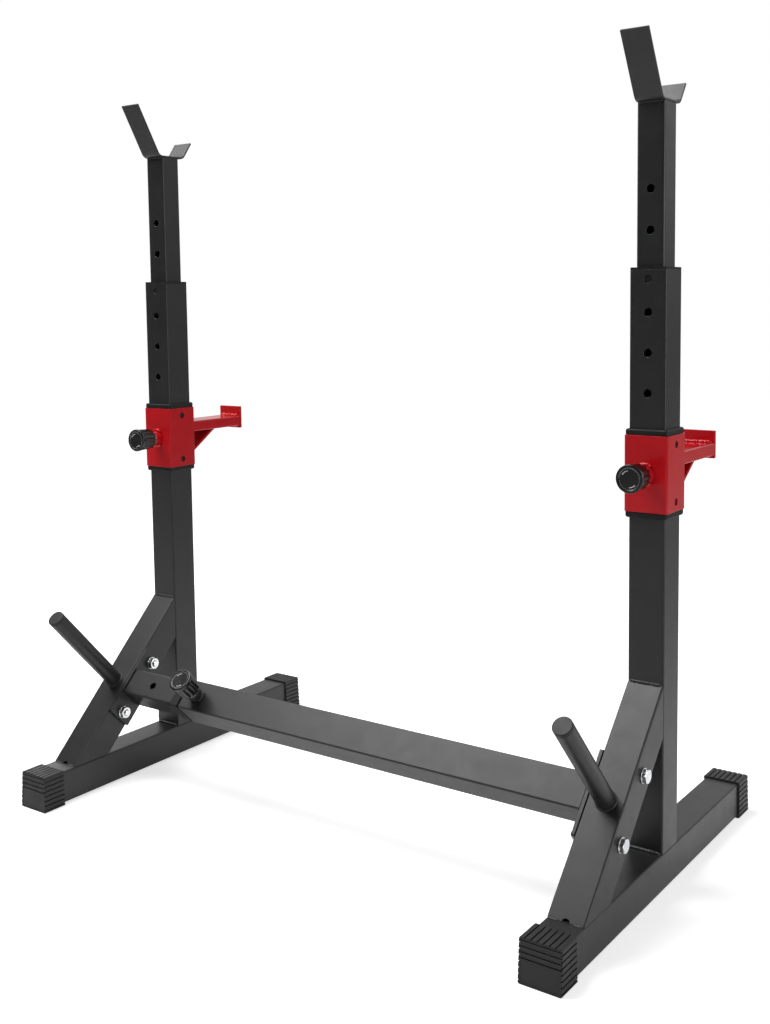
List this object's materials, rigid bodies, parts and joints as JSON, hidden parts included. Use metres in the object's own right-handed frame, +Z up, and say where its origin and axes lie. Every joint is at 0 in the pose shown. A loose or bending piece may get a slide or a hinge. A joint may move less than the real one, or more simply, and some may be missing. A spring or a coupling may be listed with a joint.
{
  "type": "squat stand",
  "caption": "Adjustable squat stand: braced uprights with sliding bar hooks, safety catches and plate pegs, tied by a telescoping crossbar.",
  "frame": {"origin": "on the floor under the middle of the stand's bounding box", "axes": "+Z up; +X along the crossbar from the left stand to the right one; -Y towards the side with the braces, pegs and knobs"},
  "size_m": [0.955, 0.6156, 1.1132],
  "materials": {
    "black_powder_coat": "fine-textured satin black powder coat",
    "red_powder_coat": "glossy red powder coat",
    "cap_rubber": "matte ribbed rubber",
    "black_plastic": "moulded black plastic",
    "knob_plastic": "glossy moulded black plastic",
    "zinc_plate": "bright zinc plating"
  },
  "bodies": {
    "right_stand": {"right_foot_tube": "black_powder_coat", "right_near_foot_cap": "cap_rubber", "right_far_foot_cap": "cap_rubber", "right_upright_tube": "black_powder_coat", "right_upright_bushing": "black_plastic", "right_brace_tube": "black_powder_coat", "right_plate_peg": "black_powder_coat", "right_plate_peg_cap": "black_plastic", "right_crossbar_end_plate": "black_powder_coat", "right_lower_bolt": "zinc_plate", "right_upper_bolt": "zinc_plate", "right_lower_nut": "zinc_plate", "right_upper_nut": "zinc_plate", "crossbar_outer_tube": "black_powder_coat", "crossbar_liner": "black_plastic", "crossbar_plunger_barrel": "black_powder_coat", "crossbar_plunger_spring": "zinc_plate"},
    "left_stand": {"left_foot_tube": "black_powder_coat", "left_near_foot_cap": "cap_rubber", "left_far_foot_cap": "cap_rubber", "left_upright_tube": "black_powder_coat", "left_upright_bushing": "black_plastic", "left_brace_tube": "black_powder_coat", "left_plate_peg": "black_powder_coat", "left_plate_peg_cap": "black_plastic", "left_crossbar_end_plate": "black_powder_coat", "left_lower_bolt": "zinc_plate", "left_upper_bolt": "zinc_plate", "left_lower_nut": "zinc_plate", "left_upper_nut": "zinc_plate", "crossbar_inner_tube": "black_powder_coat"},
    "left_post": {"left_inner_post": "black_powder_coat", "left_post_glide": "black_plastic", "left_bar_hook": "black_powder_coat"},
    "left_catch": {"left_catch_sleeve": "red_powder_coat", "left_catch_upper_bushing": "black_plastic", "left_catch_lower_bushing": "black_plastic", "left_catch_arm": "red_powder_coat", "left_catch_arm_lip": "red_powder_coat", "left_catch_arm_strut": "red_powder_coat", "left_catch_plunger_barrel": "red_powder_coat", "left_catch_plunger_spring": "zinc_plate"},
    "left_catch_pin": {"left_catch_plunger_pin": "zinc_plate"},
    "left_catch_knob": {"left_catch_plunger_knob": "knob_plastic"},
    "right_post": {"right_inner_post": "black_powder_coat", "right_post_glide": "black_plastic", "right_bar_hook": "black_powder_coat"},
    "right_catch": {"right_catch_sleeve": "red_powder_coat", "right_catch_upper_bushing": "black_plastic", "right_catch_lower_bushing": "black_plastic", "right_catch_arm": "red_powder_coat", "right_catch_arm_lip": "red_powder_coat", "right_catch_arm_strut": "red_powder_coat", "right_catch_plunger_barrel": "red_powder_coat", "right_catch_plunger_spring": "zinc_plate"},
    "right_catch_pin": {"right_catch_plunger_pin": "zinc_plate"},
    "right_catch_knob": {"right_catch_plunger_knob": "knob_plastic"},
    "crossbar_pin": {"crossbar_plunger_pin": "zinc_plate"},
    "crossbar_knob": {"crossbar_plunger_knob": "knob_plastic"}
  },
  "joints": [
    {"name": "crossbar_slide", "type": "slide", "parent": "right_stand", "child": "left_stand", "axis": [1, 0, 0], "range_m": [-0.3, 0.1]},
    {"name": "left_post_slide", "type": "slide", "parent": "left_stand", "child": "left_post", "axis": [0, 0, 1], "range_m": [-0.156, 0.26]},
    {"name": "left_catch_slide", "type": "slide", "parent": "left_stand", "child": "left_catch", "axis": [0, 0, 1], "range_m": [-0.052, 0.156]},
    {"name": "left_catch_pin_slide", "type": "slide", "parent": "left_catch", "child": "left_catch_pin", "axis": [0, 1, 0], "range_m": [0, 0.012]},
    {"name": "left_catch_knob_turn", "type": "hinge", "parent": "left_catch_pin", "child": "left_catch_knob", "pos_m": [-0.445, -0.0515, 0.556], "axis": [0, 1, 0], "continuous": true},
    {"name": "right_post_slide", "type": "slide", "parent": "right_stand", "child": "right_post", "axis": [0, 0, 1], "range_m": [-0.156, 0.26]},
    {"name": "right_catch_slide", "type": "slide", "parent": "right_stand", "child": "right_catch", "axis": [0, 0, 1], "range_m": [-0.052, 0.156]},
    {"name": "right_catch_pin_slide", "type": "slide", "parent": "right_catch", "child": "right_catch_pin", "axis": [0, 1, 0], "range_m": [0, 0.012]},
    {"name": "right_catch_knob_turn", "type": "hinge", "parent": "right_catch_pin", "child": "right_catch_knob", "pos_m": [0.445, -0.0515, 0.556], "axis": [0, 1, 0], "continuous": true},
    {"name": "crossbar_pin_slide", "type": "slide", "parent": "right_stand", "child": "crossbar_pin", "axis": [0, 0.7071, -0.7071], "range_m": [0, 0.012]},
    {"name": "crossbar_knob_turn", "type": "hinge", "parent": "crossbar_pin", "child": "crossbar_knob", "pos_m": [-0.261, -0.15137, 0.18806], "axis": [0, 0.7071, -0.7071], "continuous": true}
  ]
}
